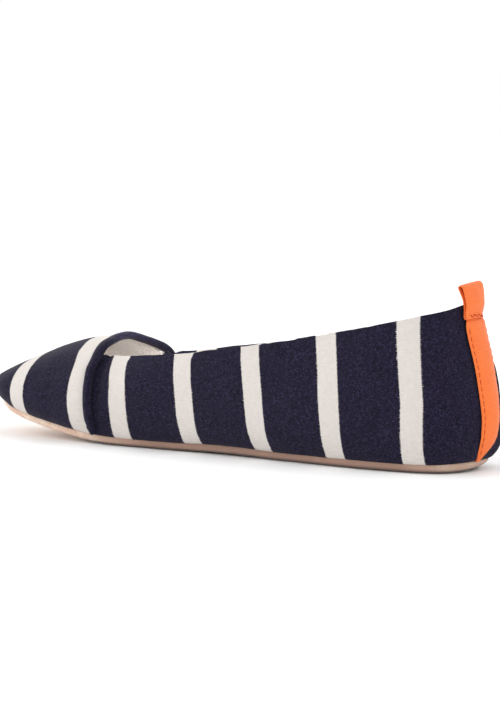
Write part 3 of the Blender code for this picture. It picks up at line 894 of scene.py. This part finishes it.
def roundRims(piece, offset):
    # breaks the sharp rims, so that the soft form keeps close to them
    onlyThis(piece)
    bpy.ops.object.mode_set(mode="EDIT")
    shape = bmesh.from_edit_mesh(piece.data)
    bpy.ops.mesh.select_mode(type="EDGE")
    bpy.ops.mesh.select_all(action="DESELECT")
    for edge in shape.edges:
        if edge.calc_face_angle(0) > math.radians(upper["rimAngle"]):
            edge.select_set(True)
    bmesh.update_edit_mesh(piece.data)
    bpy.ops.mesh.bevel(offset=offset * mm, segments=1, clamp_overlap=True)
    bpy.ops.object.mode_set(mode="OBJECT")


def stripePlace(points, onVamp):
    # distance along the cloth in mm, with a stripe's middle at each whole pitch
    x, y, z = inShoe(points)
    pitch, half = jersey["stripePitch"], jersey["stripeHalf"]
    middles = [row[0] for row in quarterStripes]
    back = x - outerStripeShift * ramp(y, outerStripeSpan)
    low = np.interp(back, middles, [row[1] for row in quarterStripes])
    high = np.interp(back, middles, [row[2] for row in quarterStripes])
    upright = back - low * np.minimum(z - stripeLevel, 0) - high * np.maximum(z - stripeLevel, 0)
    steps = np.arange(len(middles)) * pitch
    quarter = np.interp(upright, middles, steps)
    quarter = np.where(upright < middles[0], upright - middles[0], quarter)
    quarter = np.where(upright > middles[-1], upright - middles[-1] + steps[-1], quarter)
    lean = vampLean["rate"] * np.maximum(z - vampLean["from"], 0) ** 2
    front = x + lean * ease((x - vampLean["start"]) / vampLean["run"])
    edges = [edge for pair in vampStripeEdges for edge in pair]
    marks = [-pitch - half, -pitch + half, -half, half]
    vamp = np.interp(front, edges, marks)
    vamp = np.where(front < edges[0], front - edges[0] + marks[0], vamp)
    vamp = np.where(front > edges[-1], front - edges[-1] + marks[-1], vamp)
    return np.where(onVamp, vamp, quarter)


def makeUpper():
    piece = copyOfNode("upper", "stripedUpper")
    sortShell(piece)
    for _ in region:
        piece.data.materials.append(None)
    roundRims(piece, upper["rimRound"])
    soften(piece, upper["levels"])
    mesh = piece.data
    points = pointsOf(piece)
    outward = normalsOf(piece)
    marks = np.empty(len(mesh.polygons), int)
    mesh.polygons.foreach_get("material_index", marks)
    corners = np.empty(len(mesh.loops), int)
    mesh.loops.foreach_get("vertex_index", corners)
    counts = np.empty(len(mesh.polygons), int)
    mesh.polygons.foreach_get("loop_total", counts)
    loopMarks = np.repeat(marks, counts)
    touches = {name: np.zeros(len(points), bool) for name in region}
    for name, number in region.items():
        touches[name][corners[loopMarks == number]] = True
    outerWall = touches["quarter"] | touches["vamp"]
    inside = ~outerWall & (touches["lining"] | touches["hem"])
    outward[inside] *= -1
    edges = np.empty(len(mesh.edges) * 2, int)
    mesh.edges.foreach_get("vertices", edges)
    edges = edges.reshape(-1, 2)
    seam = touches["seam"]
    inSeam, onWall = (mask[edges[:, 0]] & mask[edges[:, 1]] for mask in (seam, outerWall))
    up = reachOver(points, edges[~inSeam | onWall], np.nonzero(seam & outerWall)[0].tolist())
    below = reachOver(points, edges, np.nonzero(touches["collar"] | touches["vampEdge"])[0].tolist())

    # soft folds and unevenness, alike on both faces of the wall
    x, y, z = inShoe(points)
    rise = np.zeros(len(points))
    for fold in folds:
        way = np.array(fold["way"], float)
        way /= np.linalg.norm(way)
        dx, dz = x - fold["at"][0], z - fold["at"][1]
        far, off = dx * way[0] + dz * way[1], dx * way[1] - dz * way[0]
        amount = ease(1.25 - np.abs(far) / (fold["length"] / 2)) * np.exp(-((off / fold["width"]) ** 2))
        if fold["side"]:
            amount = amount * ease(0.5 + fold["side"] * y / 12)
        rise += fold["rise"] * amount
    for name in ("broad", "small"):
        size, height, seed = unevenness[name]
        rise += height * waves(points, size, seed)
    size, height, seed, reach, taller = unevenness["seamGather"]
    rise += height * waves(points, size, seed, (1, 1, taller)) * np.exp(-((up / reach) ** 2)) * (up < 1e6)
    size, height, seed, reach, taller = unevenness["collarGather"]
    rise += height * waves(points, size, seed, (1, 1, taller)) * np.exp(-((below / reach) ** 2))
    underTape = ramp(x, upper["tapeFrom"]) * ramp(np.abs(y), upper["tapeHalf"])
    nearBand = ramp(np.abs(x - upper["bandMiddle"]), upper["bandHalf"])
    rise = np.where(nearBand > 0, np.minimum(rise, rise * (1 - nearBand)), rise) * (1 - underTape)
    rise *= np.where(outerWall, ramp(up, upper["wallFrom"]), ramp(z, upper["liningFrom"]))
    points = points + outward * rise[:, None] * mm
    tapeEdge = tape["halfWidth"] - np.interp(z, *zip(*tape["runIn"]))
    points += outward * (outerBulge(points, tapeEdge) * outerWall * mm)[:, None]
    aboveSeam = reachOver(points, edges, np.nonzero(seam)[0].tolist())
    points[:, 2] -= upper["footPress"] * ease(1 - np.minimum(up, aboveSeam) / upper["footRun"]) * mm
    dropShoulder(points)

    # the throat's edge closes up to the band
    tree = treeOf(throatBand)
    spots = KDTree(int(touches["vampEdge"].sum()))
    pulls = []
    for i in np.nonzero(touches["vampEdge"])[0].tolist():
        near, _, _, far = tree.find_nearest(Vector(points[i]))
        reach = min(max(far / mm - upper["edgeGap"], 0), upper["edgeMost"]) * mm
        pulls.append(np.array(near - Vector(points[i])) / max(far, 1e-9) * reach)
        spots.insert(points[i], len(pulls) - 1)
    spots.balance()
    byThroat = (below < upper["edgeRun"]) & (points[:, 0] / mm < upper["archReach"] + 3)
    for i in np.nonzero(byThroat)[0].tolist():
        found = spots.find_n(points[i], 6)
        pull = np.mean([pulls[j] for _, j, _ in found], axis=0)
        points[i] += pull * ease(1 - below[i] / upper["edgeRun"])
    setPoints(piece, points)

    # the cloth's own map in metres, and the distance below the collar for the stripes' ends
    cloth = mesh.uv_layers.new(name="cloth")
    onVamp = (loopMarks == region["vamp"]) | (loopMarks == region["vampEdge"])
    along = stripePlace(points[corners], onVamp) * mm
    girth = np.minimum(up, 400)[corners] * mm
    cloth.data.foreach_set("uv", np.stack([along, girth], axis=1).ravel())
    attribute = mesh.attributes.new("belowCollar", "FLOAT", "POINT")
    lower, start, run = upper["noFlare"]
    onQuarter = np.minimum(below, 50) + lower * ramp(points[:, 0] / mm, (start, run))
    attribute.data.foreach_set("value", np.where(touches["vamp"] | touches["vampEdge"], 50, onQuarter))

    mesh.materials.clear()
    mesh.materials.append(stripedJersey)
    mesh.materials.append(liningFleece)
    mesh.polygons.foreach_set("material_index", (marks == region["lining"]).astype(int))
    mesh.update()
    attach(piece, "root")
    return piece


stripedUpper = makeUpper()
print("upper ready")

# The pull loop over the heel: one strip, doubled.
loop = {
    "levels": 2,
    "joinedFoot": 2.0,  # up to this height the two legs lie on each other
    # share of the height, and by how many mm the inner leg closes up to the outer one there
    "closing": [(0, 0), (0.12, 0), (0.2, 0.3), (0.35, 0.8), (0.6, 1.0), (0.85, 0.5), (1, 0)],
    "halfWidth": 8.75,  # mm
    "slope": 0.7,  # the top is higher by this at the outer edge
    "footLean": 2.7,
    "topWider": 0.06,
    "footNarrower": 0.12,  # on the outer side
    "lap": (0.3, 0, 0.2),  # the outer leg's foot is lifted over the tape's head by this
    "lapOver": 3.5,
    "edgeIn": 0.25,  # and its end is pressed in again, up to the first height and over the second
    "edgeFrom": 0.8,
    "edgeOver": 1.4,
    "levelOver": 5,
    "waves": (8, 0.15, 2.2),
}


def behindMiddle(points):
    # how far in mm each point lies behind the curved sheet midway between the loop's two legs
    x, y, z = points.T / mm
    terms = np.stack([np.ones(len(x)), y, y * y, z, z * z], axis=1)
    parted = z > z.min() + loop["joinedFoot"]
    return x - terms @ np.linalg.lstsq(terms[parted], x[parted], rcond=None)[0]


def makeLoop():
    piece = copyOfNode("pull_loop", "pullLoop")
    soften(piece, loop["levels"])
    points = pointsOf(piece)
    outward = normalsOf(piece)
    # the outer leg's foot laps over the head of the heel tape
    foot = points[:, 2].min()
    outer = ease(behindMiddle(points) / 0.4)
    amount = ease(1 - (points[:, 2] - foot) / (loop["lapOver"] * mm)) * outer
    points += np.array(loop["lap"]) * mm * amount[:, None]
    edge = ease(1 - (points[:, 2] - foot - loop["edgeFrom"] * mm) / (loop["edgeOver"] * mm))
    points[:, 0] -= loop["edgeIn"] * mm * (edge * outer * np.clip(outward[:, 0], 0, 1))
    # its end is made level, keeping only the broad slope
    across = points[:, 1] / mm
    places = np.linspace(across.min() + 0.5, across.max() - 0.5, 16)
    low = [points[(np.abs(across - place) < 0.8) & (outer > 0.5), 2].min() for place in places]
    level = np.polyval(np.polyfit(places, low, 1), across) - np.polyval(np.polyfit(places, low, 3), across)
    points[:, 2] += level * ease(1 - (points[:, 2] - foot) / (loop["levelOver"] * mm))
    # the legs lie close together, the top slopes and the foot leans to the inner side
    height = (points[:, 2] - foot) / (points[:, 2].max() - foot)
    y = points[:, 1] / mm - centreLine
    closing = np.interp(height, *zip(*loop["closing"]))
    points[:, 0] += closing * (1 - outer) * mm
    points[:, 2] += y / loop["halfWidth"] * loop["slope"] * ease(height) * mm
    points[:, 1] -= loop["footLean"] * (1 - ease(height)) * mm
    wider = loop["topWider"] * ease(height * 2 - 1)
    wider -= loop["footNarrower"] * (1 - ease(height * 1.6)) * (y > 0)
    points[:, 1] += y * wider * mm
    size, high, seed = loop["waves"]
    points += outward * (waves(points, size, seed) * high * mm)[:, None]
    setPoints(piece, points)
    piece.data.materials.append(heelGrosgrain)
    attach(piece, "root")
    return piece


heelTape = makeTape()
pullLoop = makeLoop()
print("tape and loop ready")

# Stitches, in mm: one of each row is modelled, the rest are copies of it.
tapeSeam = {"length": 2.2, "thick": 0.38, "proud": 0.12, "from": 8.5, "to": 60, "pitch": 2.9, "aim": 0.8}
loopSeam = {"length": 2.0, "thick": 0.4, "proud": 0.15, "half": 6.3, "pitch": 1.8, "zigzag": 0.7, "up": 1.4}
stitchSides = 6


def makeStitch(length, thick):
    # a short thread lying along x, its ends drawn in and sunk
    bpy.ops.object.select_all(action="DESELECT")
    bpy.ops.mesh.primitive_cylinder_add(
        vertices=stitchSides, radius=thick / 2 * mm, depth=length * 0.6 * mm, rotation=(0, math.pi / 2, 0)
    )
    piece = bpy.context.object
    bpy.ops.object.transform_apply(location=True, rotation=True, scale=True)
    bpy.ops.object.mode_set(mode="EDIT")
    for end in (-1, 1):
        pickFaces(piece, lambda face: face.normal.x * end > 0.9)
        bpy.ops.mesh.extrude_region_move(
            TRANSFORM_OT_translate={"value": (end * length * 0.2 * mm, 0, -thick * 0.35 * mm)}
        )
        bpy.ops.transform.resize(
            value=(1, 0.45, 0.45), center_override=(end * length * 0.5 * mm, 0, -thick * 0.35 * mm)
        )
    bpy.ops.object.mode_set(mode="OBJECT")
    return piece


def sewRow(name, model, places, material):
    # places: (point, along, out); each copy has its own mesh, and the row is one piece
    copies = []
    for point, along, out in places:
        along, out = Vector(along).normalized(), Vector(out).normalized()
        side = out.cross(along).normalized()
        out = along.cross(side)
        turn = Matrix((along, side, out)).transposed().to_4x4()
        turn.translation = point
        copy = bpy.data.objects.new(name, model.data.copy())
        copy.data.transform(turn)
        bpy.context.scene.collection.objects.link(copy)
        copies.append(copy)
    onlyThis(copies[0])
    for copy in copies[1:]:
        copy.select_set(True)
    bpy.ops.object.join()
    row = bpy.context.object
    row.name = name
    bpy.ops.object.shade_smooth()
    row.data.materials.append(material)
    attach(row, "root")
    bpy.data.objects.remove(model)
    return row


def spotBehind(tree, y, z):
    # the point and way out on the heel's back at this distance across and up
    point, out, _, _ = tree.ray_cast(Vector((0.3, (centreLine + y) * mm, z * mm)), Vector((-1, 0, 0)))
    return point, out


def sewTape():
    tree = treeOf(heelTape)
    places = []
    points = pointsOf(heelTape) / mm
    heights = np.arange(4, 64, 1.0)
    across = [points[np.abs(points[:, 2] - height) < 1, 1] - centreLine for height in heights]
    edges = {-1: [row.min() for row in across], 1: [row.max() for row in across]}
    for side in (-1, 1):
        for z in np.arange(tapeSeam["from"], tapeSeam["to"], tapeSeam["pitch"]):
            aim = z + tapeSeam["aim"]
            low, high = (np.interp(at, heights, edges[side]) - side * tape["lipIn"] for at in (z, aim))
            point, out = spotBehind(tree, low, z)
            above, _ = spotBehind(tree, high, aim)
            if point is not None and above is not None:
                places.append((point + out * tapeSeam["proud"] * mm, above - point, out))
    model = makeStitch(tapeSeam["length"], tapeSeam["thick"])
    return sewRow("tapeStitches", model, places, orangeThread)


def sewLoop():
    tree = treeOf(pullLoop)
    places = []
    half, pitch = loopSeam["half"], loopSeam["pitch"]
    steps = np.arange(-half, half + 0.01, pitch) - loop["footLean"]
    points = pointsOf(pullLoop) / mm
    across = points[:, 1] - centreLine
    behind = points[:, 0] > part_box("pull_loop")[1].x / mm - 3
    for i, (left, right) in enumerate(zip(steps, steps[1:])):
        up = loopSeam["zigzag"] if i % 2 else -loopSeam["zigzag"]
        foot = points[behind & (np.abs(across - (left + right) / 2) < 1), 2].min() + loopSeam["up"]
        start, _ = spotBehind(tree, left, foot - up)
        end, _ = spotBehind(tree, right, foot + up)
        middle, out = spotBehind(tree, (left + right) / 2, foot)
        if start is not None and end is not None and middle is not None:
            places.append((middle + out * loopSeam["proud"] * mm, end - start, out))
    model = makeStitch(loopSeam["length"], loopSeam["thick"])
    return sewRow("loopStitches", model, places, orangeThread)


tapeStitches = sewTape()
loopStitches = sewLoop()
print("stitches ready")

# The footbed: blown up like a padded cloth, grown out to the upper and trodden down at heel and ball.
footbed = {
    "grid": 3.0,  # mm
    "shrink": 0.5,
    "pressure": 4.0,
    "cap": 1.0,  # the cloth swells no further than this
    "steps": 20,
    "rise": 0.5,
    "heelHollow": (96, 22, 15, 0.9),  # place along, reach along, reach across, depth
    "ballHollow": (-48, 26, 20, 0.6),
    "waves": (4, 0.2, 6.4),
    "sideways": 0.25,  # faces that look out sideways this much grow out to the walls
    "clear": 0.15,
    "growths": [(8, 2), (3.5, 1), (2.5, 0)],  # how far each growth may reach, how often it is evened
    "lifts": (0, 1.5, 3.0),  # where the wall's foot is higher, look for it this much further up
}


def evened(piece, moves, times):
    # each move becomes its neighbours' middle one, then their mean, so that none stands out
    near = [[i] for i in range(len(moves))]
    for edge in piece.data.edges:
        a, b = edge.vertices
        near[a].append(b)
        near[b].append(a)
    for pick in (np.median,) * times + (np.mean,) * times:
        moves = np.array([pick(moves[spots], axis=0) for spots in near])
    return moves


def wayToWalls(piece, points, walls, reach):
    # how far each point of the rim may still grow sideways until it meets the upper
    level = evened(piece, normalsOf(piece) * (1, 1, 0), 1)
    tilt = np.linalg.norm(level, axis=1)
    level /= np.maximum(tilt, 1e-9)[:, None]
    moves = np.zeros((len(points), 3))
    for i in np.nonzero(tilt > footbed["sideways"])[0].tolist():
        way = Vector(level[i])
        for lift in footbed["lifts"]:
            source = Vector(points[i]) - way * mm + Vector((0, 0, lift * mm))
            far = walls.ray_cast(source, way, reach * mm)[3]
            if far is not None:
                break
        if far is None:
            near = walls.find_nearest(source, reach * mm)[0]
            far = 0 if near is None else (near - source).dot(way)
        grown = max(far / mm - 1 - footbed["clear"], 0) * ease((tilt[i] - footbed["sideways"]) / 0.3)
        moves[i] = level[i] * grown * mm
    return moves


def makeFootbed():
    piece = copyOfNode("insole", "footbed")
    onlyThis(piece)
    grid = piece.modifiers.new("even grid", "REMESH")
    grid.mode = "VOXEL"
    grid.voxel_size = footbed["grid"] * mm
    bpy.ops.object.modifier_apply(modifier=grid.name)
    points = pointsOf(piece)
    start = points - normalsOf(piece) * footbed["shrink"] * mm
    setPoints(piece, start)
    cloth = piece.modifiers.new("cloth", "CLOTH")
    cloth.settings.use_pressure = True
    cloth.settings.uniform_pressure_force = footbed["pressure"]
    cloth.settings.effector_weights.gravity = 0
    cloth.point_cache.frame_start, cloth.point_cache.frame_end = 1, footbed["steps"]
    for step in range(1, footbed["steps"] + 1):
        bpy.context.scene.frame_set(step)
    bpy.ops.object.modifier_apply(modifier=cloth.name)
    bpy.context.scene.frame_set(1)
    moved = pointsOf(piece) - start
    far = np.linalg.norm(moved, axis=1)
    keep = np.minimum(1, footbed["cap"] * mm / np.maximum(far, 1e-9))
    setPoints(piece, start + moved * keep[:, None])
    soften(piece, 1)
    points = pointsOf(piece)
    x, y, _ = inShoe(points)
    top = ease(normalsOf(piece)[:, 2] * 2 - 0.6)
    hollow = 0
    for place, along, across, depth in (footbed["heelHollow"], footbed["ballHollow"]):
        hollow = hollow + depth * np.exp(-(((x - place) / along) ** 2) - (y / across) ** 2)
    walls = treeOf(stripedUpper)
    for reach, times in footbed["growths"]:
        setPoints(piece, points)
        points = points + evened(piece, wayToWalls(piece, points, walls, reach), times)
    points[:, 2] += footbed["rise"] * top * mm
    points[:, 2] -= hollow * top * mm
    size, height, seed = footbed["waves"]
    points[:, 2] += waves(points, size, seed) * height * mm * top
    setPoints(piece, points)
    piece.data.materials.append(footbedFleece)
    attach(piece, "root")
    return piece


sole = {
    "levels": 2,
    "lowerRound": 2.0,  # mm
    "firstInset": 1.2,
    "secondInset": 7.0,
    "leastFace": 30,  # mm2: smaller faces stay out of the insets
    "waves": (5, 0.14, 9.9),
    # at the outer back its lower edge draws in, and its rim spreads
    "heelTuck": 4.2,
    "tuckAlong": (100, 16),
    "tuckAcross": (-1, 10),
    "tuckUp": (5.5, -5.5),
    "heelFlare": 1.8,
    "flareAlong": (92, 30),
    "flareAcross": (-2, 16),
    "flareUp": (2.5, 3),
}


def makeSole():
    piece = copyOfNode("outsole", "suedeSole")
    bpy.ops.object.mode_set(mode="EDIT")
    shape = bmesh.from_edit_mesh(piece.data)
    bpy.ops.mesh.select_mode(type="EDGE")
    bpy.ops.mesh.select_all(action="DESELECT")
    for edge in shape.edges:
        tilts = sorted(face.normal.z for face in edge.link_faces)
        if len(tilts) == 2 and tilts[0] < -0.8 and tilts[1] > -0.6:
            edge.select_set(True)
    bmesh.update_edit_mesh(piece.data)
    bpy.ops.mesh.bevel(offset=sole["lowerRound"] * mm, segments=3, clamp_overlap=True)
    least = sole["leastFace"] * mm * mm
    for way in (1, -1):
        pickFaces(piece, lambda face: face.normal.z * way > 0.85 and face.calc_area() > least)
        bpy.ops.mesh.inset(thickness=sole["firstInset"] * mm, use_even_offset=True)
        bpy.ops.mesh.inset(thickness=sole["secondInset"] * mm, use_even_offset=True)
    bpy.ops.object.mode_set(mode="OBJECT")
    soften(piece, sole["levels"])
    points = pointsOf(piece)
    size, height, seed = sole["waves"]
    points += normalsOf(piece) * (waves(points, size, seed) * height * mm)[:, None]
    level = normalsOf(piece) * (1, 1, 0)
    x, y, z = inShoe(points)
    tuck = ramp(x, sole["tuckAlong"]) * ramp(y, sole["tuckAcross"]) * ramp(z, sole["tuckUp"])
    flare = ramp(x, sole["flareAlong"]) * ramp(y, sole["flareAcross"]) * ramp(z, sole["flareUp"])
    points += level * ((sole["heelFlare"] * flare - sole["heelTuck"] * tuck) * mm)[:, None]
    points[:, 2] = np.maximum(points[:, 2], 0)
    setPoints(piece, points)
    piece.data.materials.append(soleSuede)
    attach(piece, "root")
    return piece


footbedPiece = makeFootbed()
suedeSole = makeSole()
print("footbed and sole ready")

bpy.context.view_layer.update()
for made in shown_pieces():
    print(made.name, len(made.data.polygons))
